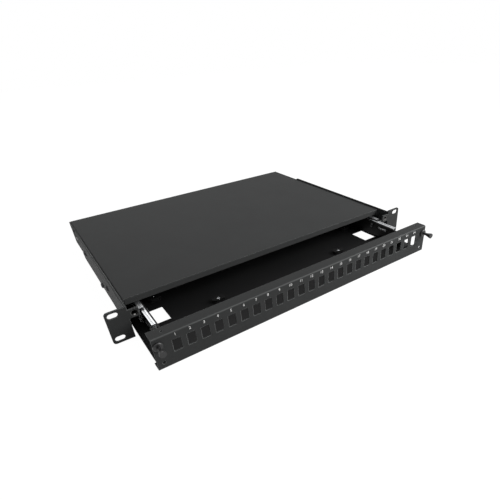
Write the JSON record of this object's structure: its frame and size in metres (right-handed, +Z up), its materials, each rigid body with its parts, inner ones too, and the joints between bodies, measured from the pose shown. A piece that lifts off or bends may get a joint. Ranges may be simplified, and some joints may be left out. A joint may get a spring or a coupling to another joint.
{
  "type": "sliding fibre patch panel",
  "caption": "Rack-mount sliding fibre patch panel with rectangular adapter cut-outs, ball-bearing slides and a splice tray.",
  "frame": {"origin": "centre of the four rack slots, on the front face of the ears", "axes": "+X to the right along the front, +Y back into the rack, +Z up; the drawer opens along -Y"},
  "size_m": [0.4826, 0.4477, 0.0436],
  "materials": {
    "black_coat": "satin",
    "black_zinc": "satin",
    "zinc_steel": "satin",
    "cage_steel": "satin",
    "ball_steel": "polished",
    "zinc_screw": "satin",
    "nickel": "polished",
    "nylon": "matt",
    "spool_plastic": "matt",
    "cassette_plastic": "matt",
    "comb_rubber": "matt",
    "clear_plastic": "gloss",
    "seal_rubber": "matt"
  },
  "bodies": {
    "chassis": {"chassis": "black_coat", "cover": "black_coat", "cover_screws": "black_zinc", "ear_bracket_left": "black_coat", "ear_bracket_right": "black_coat", "ear_screws": "black_zinc", "latch_catch_left": "nickel", "latch_catch_right": "nickel", "slide_outer_left": "zinc_steel", "slide_outer_right": "zinc_steel", "slide_spacers": "zinc_steel", "gland_body_left": "nylon", "gland_body_right": "nylon", "gland_cap_left": "nylon", "gland_cap_right": "nylon", "gland_seal_left": "seal_rubber", "gland_seal_right": "seal_rubber", "gland_nut_left": "nylon", "gland_nut_right": "nylon", "blanking_plug_left": "nylon", "blanking_plug_right": "nylon"},
    "drawer": {"front_panel": "black_coat", "panel_screws": "black_zinc", "fibre_tray": "black_coat", "tray_rail_left": "black_coat", "tray_rail_right": "black_coat", "latch_grommet_left": "nylon", "latch_grommet_right": "nylon", "slide_inner_left": "zinc_steel", "slide_inner_right": "zinc_steel", "slide_screws": "black_zinc", "splice_cassette": "cassette_plastic", "splice_combs": "comb_rubber", "cassette_lid": "clear_plastic", "cassette_stud": "zinc_screw", "cassette_nut": "zinc_screw", "fibre_spool_left": "spool_plastic", "fibre_spool_right": "spool_plastic", "spool_screws": "zinc_screw", "tie_saddles": "nylon", "saddle_screws": "zinc_screw"},
    "slide_middle_left": {"slide_middle_left": "zinc_steel"},
    "inner_cage_left": {"inner_cage_left": "cage_steel", "inner_balls_left": "ball_steel"},
    "outer_cage_left": {"outer_cage_left": "cage_steel", "outer_balls_left": "ball_steel"},
    "latch_plunger_left": {"latch_plunger_left": "nylon"},
    "slide_middle_right": {"slide_middle_right": "zinc_steel"},
    "inner_cage_right": {"inner_cage_right": "cage_steel", "inner_balls_right": "ball_steel"},
    "outer_cage_right": {"outer_cage_right": "cage_steel", "outer_balls_right": "ball_steel"},
    "latch_plunger_right": {"latch_plunger_right": "nylon"}
  },
  "joints": [
    {"name": "drawer_slide", "type": "slide", "parent": "chassis", "child": "drawer", "axis": [0, -1, 0], "range_m": [-0.0738, 0.2012]},
    {"name": "slide_middle_left_run", "type": "slide", "parent": "chassis", "child": "slide_middle_left", "axis": [0, -1, 0], "range_m": [-0.0369, 0.1006]},
    {"name": "inner_cage_left_run", "type": "slide", "parent": "chassis", "child": "inner_cage_left", "axis": [0, -1, 0], "range_m": [-0.05535, 0.1509]},
    {"name": "outer_cage_left_run", "type": "slide", "parent": "chassis", "child": "outer_cage_left", "axis": [0, -1, 0], "range_m": [-0.01845, 0.0503]},
    {"name": "latch_plunger_left_push", "type": "slide", "parent": "drawer", "child": "latch_plunger_left", "axis": [0, 1, 0], "range_m": [0, 0.005]},
    {"name": "slide_middle_right_run", "type": "slide", "parent": "chassis", "child": "slide_middle_right", "axis": [0, -1, 0], "range_m": [-0.0369, 0.1006]},
    {"name": "inner_cage_right_run", "type": "slide", "parent": "chassis", "child": "inner_cage_right", "axis": [0, -1, 0], "range_m": [-0.05535, 0.1509]},
    {"name": "outer_cage_right_run", "type": "slide", "parent": "chassis", "child": "outer_cage_right", "axis": [0, -1, 0], "range_m": [-0.01845, 0.0503]},
    {"name": "latch_plunger_right_push", "type": "slide", "parent": "drawer", "child": "latch_plunger_right", "axis": [0, 1, 0], "range_m": [0, 0.005]}
  ],
  "couplings": [
    {"joint": "slide_middle_left_run", "follows": "drawer_slide", "ratio": 0.5},
    {"joint": "inner_cage_left_run", "follows": "drawer_slide", "ratio": 0.75},
    {"joint": "outer_cage_left_run", "follows": "drawer_slide", "ratio": 0.25},
    {"joint": "slide_middle_right_run", "follows": "drawer_slide", "ratio": 0.5},
    {"joint": "inner_cage_right_run", "follows": "drawer_slide", "ratio": 0.75},
    {"joint": "outer_cage_right_run", "follows": "drawer_slide", "ratio": 0.25}
  ]
}
